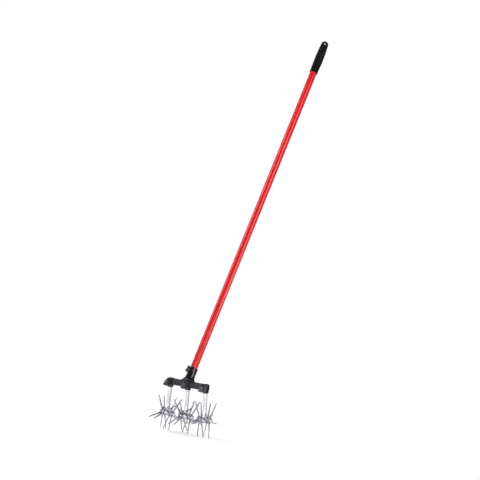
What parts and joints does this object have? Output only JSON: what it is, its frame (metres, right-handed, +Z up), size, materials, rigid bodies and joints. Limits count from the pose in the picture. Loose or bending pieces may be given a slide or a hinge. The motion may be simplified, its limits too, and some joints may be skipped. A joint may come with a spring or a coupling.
{
  "type": "rotary garden cultivator",
  "caption": "Long-handled rotary garden cultivator: painted tube handle, black moulded head with latched zinc legs, and pairs of free-spinning spiked wheels that break up soil.",
  "frame": {"origin": "on the ground, straight below the middle leg, with the tool standing on its spikes", "axes": "+Z up along the middle leg, +X along the head bar, +Y towards the user, the way the handle leans"},
  "size_m": [0.206, 0.6715, 1.2242],
  "materials": {
    "red_paint": "gloss powder coat on steel tube",
    "grip_vinyl": "matt moulded vinyl",
    "black_moulding": "satin filled nylon",
    "zinc_leg": "bright zinc plate",
    "zinc_wheel": "zinc plate, pressed edges",
    "zinc_hardware": "zinc plate",
    "spring_steel": "drawn wire"
  },
  "bodies": {
    "frame": {"axle_left": "zinc_hardware", "axle_middle": "zinc_hardware", "axle_right": "zinc_hardware", "end_grip": "grip_vinyl", "handle_tube": "red_paint", "head": "black_moulding", "leg_left": "zinc_leg", "leg_middle": "zinc_leg", "leg_right": "zinc_leg", "lever_pin_left": "zinc_hardware", "lever_pin_middle": "zinc_hardware", "lever_pin_right": "zinc_hardware", "lever_spring_left": "spring_steel", "lever_spring_middle": "spring_steel", "lever_spring_right": "spring_steel", "neck_pin": "zinc_hardware", "neck_spring": "spring_steel", "washers_left": "zinc_hardware", "washers_middle": "zinc_hardware", "washers_right": "zinc_hardware"},
    "wheel_left_a": {"hub_left_a": "zinc_wheel", "star_in_left_a": "zinc_wheel", "star_out_left_a": "zinc_wheel"},
    "wheel_left_b": {"hub_left_b": "zinc_wheel", "star_in_left_b": "zinc_wheel", "star_out_left_b": "zinc_wheel"},
    "wheel_middle_a": {"hub_middle_a": "zinc_wheel", "star_in_middle_a": "zinc_wheel", "star_out_middle_a": "zinc_wheel"},
    "wheel_middle_b": {"hub_middle_b": "zinc_wheel", "star_in_middle_b": "zinc_wheel", "star_out_middle_b": "zinc_wheel"},
    "wheel_right_a": {"hub_right_a": "zinc_wheel", "star_in_right_a": "zinc_wheel", "star_out_right_a": "zinc_wheel"},
    "wheel_right_b": {"hub_right_b": "zinc_wheel", "star_in_right_b": "zinc_wheel", "star_out_right_b": "zinc_wheel"},
    "lever_left": {"lever_left": "black_moulding"},
    "lever_middle": {"lever_middle": "black_moulding"},
    "lever_right": {"lever_right": "black_moulding"},
    "neck_lever": {"neck_lever": "black_moulding"}
  },
  "joints": [
    {"name": "wheel_left_a_spin", "type": "hinge", "parent": "frame", "child": "wheel_left_a", "pos_m": [-0.08442, 0, 0.05473], "axis": [0.999, 0, -0.0436], "continuous": true},
    {"name": "wheel_left_b_spin", "type": "hinge", "parent": "frame", "child": "wheel_left_b", "pos_m": [-0.05465, 0, 0.05343], "axis": [0.999, 0, -0.0436], "continuous": true},
    {"name": "wheel_middle_a_spin", "type": "hinge", "parent": "frame", "child": "wheel_middle_a", "pos_m": [-0.0149, 0, 0.054], "axis": [1, 0, 0], "continuous": true},
    {"name": "wheel_middle_b_spin", "type": "hinge", "parent": "frame", "child": "wheel_middle_b", "pos_m": [0.0149, 0, 0.054], "axis": [1, 0, 0], "continuous": true},
    {"name": "wheel_right_a_spin", "type": "hinge", "parent": "frame", "child": "wheel_right_a", "pos_m": [0.05465, 0, 0.05343], "axis": [0.999, 0, 0.0436], "continuous": true},
    {"name": "wheel_right_b_spin", "type": "hinge", "parent": "frame", "child": "wheel_right_b", "pos_m": [0.08442, 0, 0.05473], "axis": [0.999, 0, 0.0436], "continuous": true},
    {"name": "lever_left_press", "type": "hinge", "parent": "frame", "child": "lever_left", "pos_m": [-0.06567, -0.0153, 0.14249], "axis": [0.999, 0, -0.0436], "range_deg": [0, 13], "stiffness_Nm_per_rad": 0.35, "springref_deg": -14.32, "deforming": ["lever_spring_left"]},
    {"name": "lever_middle_press", "type": "hinge", "parent": "frame", "child": "lever_middle", "pos_m": [0, -0.0153, 0.1425], "axis": [1, 0, 0], "range_deg": [0, 13], "stiffness_Nm_per_rad": 0.35, "springref_deg": -14.32, "deforming": ["lever_spring_middle"]},
    {"name": "lever_right_press", "type": "hinge", "parent": "frame", "child": "lever_right", "pos_m": [0.06567, -0.0153, 0.14249], "axis": [0.999, 0, 0.0436], "range_deg": [0, 13], "stiffness_Nm_per_rad": 0.35, "springref_deg": -14.32, "deforming": ["lever_spring_right"]},
    {"name": "neck_lever_lift", "type": "hinge", "parent": "frame", "child": "neck_lever", "pos_m": [0, 0.00413, 0.20295], "axis": [-1, 0, 0], "range_deg": [0, 16], "stiffness_Nm_per_rad": 0.35, "springref_deg": -14.32, "deforming": ["neck_spring"]}
  ]
}
